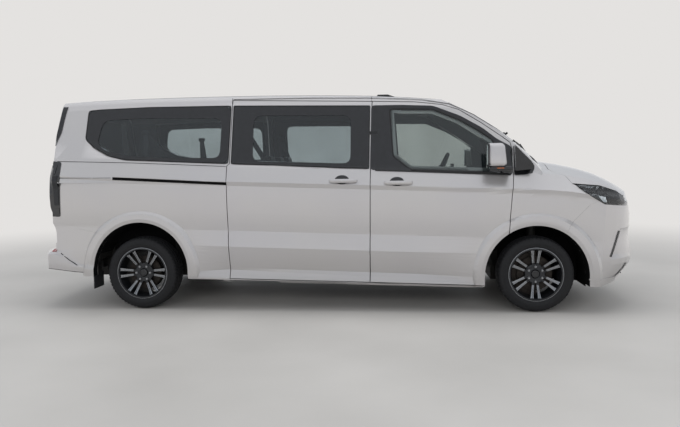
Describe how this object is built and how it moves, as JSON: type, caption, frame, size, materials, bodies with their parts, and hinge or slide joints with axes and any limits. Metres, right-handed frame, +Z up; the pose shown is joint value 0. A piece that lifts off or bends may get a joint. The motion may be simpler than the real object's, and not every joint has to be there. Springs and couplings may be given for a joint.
{
  "type": "minibus",
  "caption": "Eight-seat-class long minibus with one-box silver body, hinged front doors, side doors, top-hinged tailgate, bonnet, steered front wheels and a furnished cabin.",
  "frame": {"origin": "on the ground at the middle of the overall length and width", "axes": "+X forwards, +Y to the vehicle's left, +Z up"},
  "size_m": [5.45, 2.272, 1.9879],
  "materials": {
    "body_paint": "metallic clear coat",
    "black_plastic": "grained",
    "gloss_black": "gloss",
    "clear_glass": "clear, faint green tint",
    "dark_glass": "privacy tint",
    "lamp": "clear lens",
    "red_lamp": "red lens",
    "tyre_rubber": "matt",
    "alloy": "machined and painted",
    "steel": "black chassis paint",
    "brake_steel": "machined",
    "trim": "grained soft plastic",
    "seat_cloth": "woven",
    "rail_plastic": "satin"
  },
  "bodies": {
    "body": {"body_shell": "body_paint", "floor_pan": "steel", "wing_left": "body_paint", "wing_right": "body_paint", "front_bumper": "body_paint", "grille": "gloss_black", "rear_bumper": "body_paint", "headlamps": "lamp", "tail_lamps": "red_lamp", "windscreen": "clear_glass", "glass_rear_side": "dark_glass", "slide_rails": "rail_plastic", "door_slide_left": "body_paint", "door_slide_right": "body_paint", "mirror_fairings": "black_plastic", "aerial_pod": "gloss_black", "mud_flaps": "black_plastic", "dashboard": "trim", "steering_wheel": "trim", "seats_front": "seat_cloth", "seats_middle": "seat_cloth", "seats_rear": "seat_cloth", "front_axle": "steel", "front_struts": "steel", "rear_axle": "steel", "engine_block": "brake_steel"},
    "bonnet": {"bonnet": "body_paint"},
    "tailgate": {"tailgate": "body_paint", "glass_tailgate": "dark_glass"},
    "door_left": {"door_front_left": "body_paint", "glass_front_left": "clear_glass", "mirror_left": "body_paint"},
    "door_right": {"door_front_right": "body_paint", "glass_front_right": "clear_glass", "mirror_right": "body_paint"},
    "knuckle_left": {"knuckle_left": "brake_steel"},
    "knuckle_right": {"knuckle_right": "brake_steel"},
    "wheel_front_left": {"tyre_front_left": "tyre_rubber", "rim_front_left": "alloy"},
    "wheel_front_right": {"tyre_front_right": "tyre_rubber", "rim_front_right": "alloy"},
    "wheel_rear_left": {"tyre_rear_left": "tyre_rubber", "rim_rear_left": "alloy"},
    "wheel_rear_right": {"tyre_rear_right": "tyre_rubber", "rim_rear_right": "alloy"}
  },
  "joints": [
    {"name": "bonnet_hinge", "type": "hinge", "parent": "body", "child": "bonnet", "pos_m": [1.925, 0, 1.31], "axis": [0, -1, 0], "range_deg": [0, 50]},
    {"name": "tailgate_hinge", "type": "hinge", "parent": "body", "child": "tailgate", "pos_m": [-2.48, 0, 1.97], "axis": [0, 1, 0], "range_deg": [0, 85]},
    {"name": "door_left_hinge", "type": "hinge", "parent": "body", "child": "door_left", "pos_m": [1.583, 1.01, 0.9], "axis": [0, 0, -1], "range_deg": [0, 68]},
    {"name": "door_right_hinge", "type": "hinge", "parent": "body", "child": "door_right", "pos_m": [1.583, -1.01, 0.9], "axis": [0, 0, 1], "range_deg": [0, 68]},
    {"name": "steer_left", "type": "hinge", "parent": "body", "child": "knuckle_left", "pos_m": [1.775, 0.7, 0.328], "axis": [0, 0, 1], "range_deg": [-30, 30]},
    {"name": "steer_right", "type": "hinge", "parent": "body", "child": "knuckle_right", "pos_m": [1.775, -0.7, 0.328], "axis": [0, 0, 1], "range_deg": [-30, 30]},
    {"name": "spin_front_left", "type": "hinge", "parent": "knuckle_left", "child": "wheel_front_left", "pos_m": [1.775, 0.8675, 0.328], "axis": [0, 1, 0], "continuous": true},
    {"name": "spin_front_right", "type": "hinge", "parent": "knuckle_right", "child": "wheel_front_right", "pos_m": [1.775, -0.8675, 0.328], "axis": [0, 1, 0], "continuous": true},
    {"name": "spin_rear_left", "type": "hinge", "parent": "body", "child": "wheel_rear_left", "pos_m": [-1.725, 0.8675, 0.328], "axis": [0, 1, 0], "continuous": true},
    {"name": "spin_rear_right", "type": "hinge", "parent": "body", "child": "wheel_rear_right", "pos_m": [-1.725, -0.8675, 0.328], "axis": [0, 1, 0], "continuous": true}
  ],
  "couplings": [
    {"joint": "steer_right", "follows": "steer_left", "ratio": 1}
  ]
}
